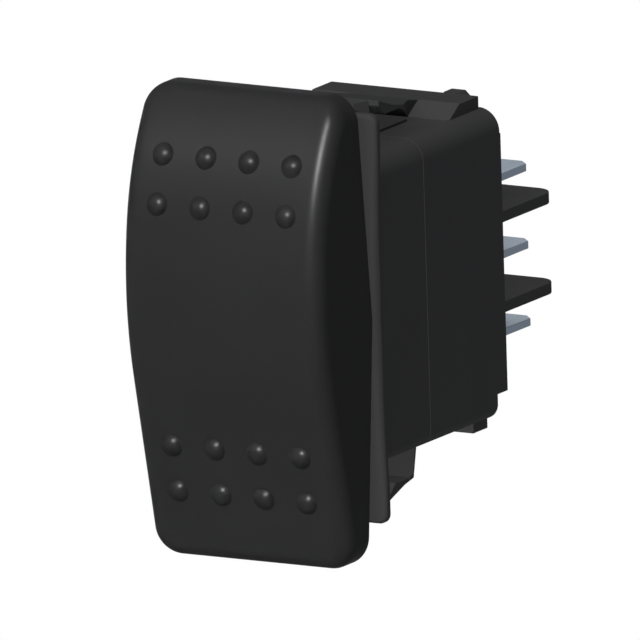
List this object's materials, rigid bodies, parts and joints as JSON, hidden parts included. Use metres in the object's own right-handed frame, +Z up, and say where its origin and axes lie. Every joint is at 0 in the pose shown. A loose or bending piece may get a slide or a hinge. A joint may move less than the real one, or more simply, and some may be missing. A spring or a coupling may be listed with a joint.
{
  "type": "rocker switch",
  "caption": "Snap-in panel rocker switch: domed black rocker on a wide flange, barbed body, barriers and flat tab terminals behind.",
  "frame": {"origin": "centre of the panel cut-out, in the plane of the flange's rear face, which rests on the panel", "axes": "+X across the narrow side of the face, +Y back through the panel towards the tabs, +Z up along the tall side"},
  "size_m": [0.0252, 0.0499, 0.0488],
  "materials": {
    "rocker": "fine satin moulding",
    "body": "fine matt moulding",
    "carrier": "matt moulding",
    "plunger": "natural acetal",
    "seal": "matt rubber",
    "terminal": "plated sheet",
    "spring": "drawn wire",
    "arm": "stamped sheet",
    "contact": "bright contact metal"
  },
  "bodies": {
    "housing": {"bezel_bracket": "body", "base_housing": "body", "base_gasket": "seal", "splash_seal": "seal", "terminal_top_left": "terminal", "terminal_common_left": "terminal", "terminal_bottom_left": "terminal", "terminal_top_right": "terminal", "terminal_common_right": "terminal", "terminal_bottom_right": "terminal", "fixed_contact_top_left": "contact", "fixed_contact_bottom_left": "contact", "fixed_contact_top_right": "contact", "fixed_contact_bottom_right": "contact"},
    "rocker": {"rocker_paddle": "rocker", "rocker_carrier": "carrier", "plunger_spring_left": "spring", "plunger_spring_right": "spring"},
    "arm_left": {"contact_arm_left": "arm", "moving_contact_top_left": "contact", "moving_contact_bottom_left": "contact"},
    "plunger_left": {"plunger_left": "plunger"},
    "arm_right": {"contact_arm_right": "arm", "moving_contact_top_right": "contact", "moving_contact_bottom_right": "contact"},
    "plunger_right": {"plunger_right": "plunger"}
  },
  "joints": [
    {"name": "rocker_tilt", "type": "hinge", "parent": "housing", "child": "rocker", "pos_m": [0, 0.005, 0], "axis": [1, 0, 0], "range_deg": [-4.5, 4.5]},
    {"name": "arm_left_tilt", "type": "hinge", "parent": "housing", "child": "arm_left", "pos_m": [-0.0057, 0.0227, 0], "axis": [1, 0, 0], "range_deg": [-5.5, 5.5]},
    {"name": "plunger_left_slide", "type": "slide", "parent": "rocker", "child": "plunger_left", "axis": [0, -1, 0], "range_m": [0, 0.0006], "stiffness_N_per_m": 300, "springref_m": -0.003, "deforming": ["plunger_spring_left"]},
    {"name": "arm_right_tilt", "type": "hinge", "parent": "housing", "child": "arm_right", "pos_m": [0.0057, 0.0227, 0], "axis": [1, 0, 0], "range_deg": [-5.5, 5.5]},
    {"name": "plunger_right_slide", "type": "slide", "parent": "rocker", "child": "plunger_right", "axis": [0, -1, 0], "range_m": [0, 0.0006], "stiffness_N_per_m": 300, "springref_m": -0.003, "deforming": ["plunger_spring_right"]}
  ],
  "couplings": [
    {"joint": "arm_left_tilt", "follows": "rocker_tilt", "ratio": -1.2},
    {"joint": "arm_right_tilt", "follows": "rocker_tilt", "ratio": -1.2}
  ]
}
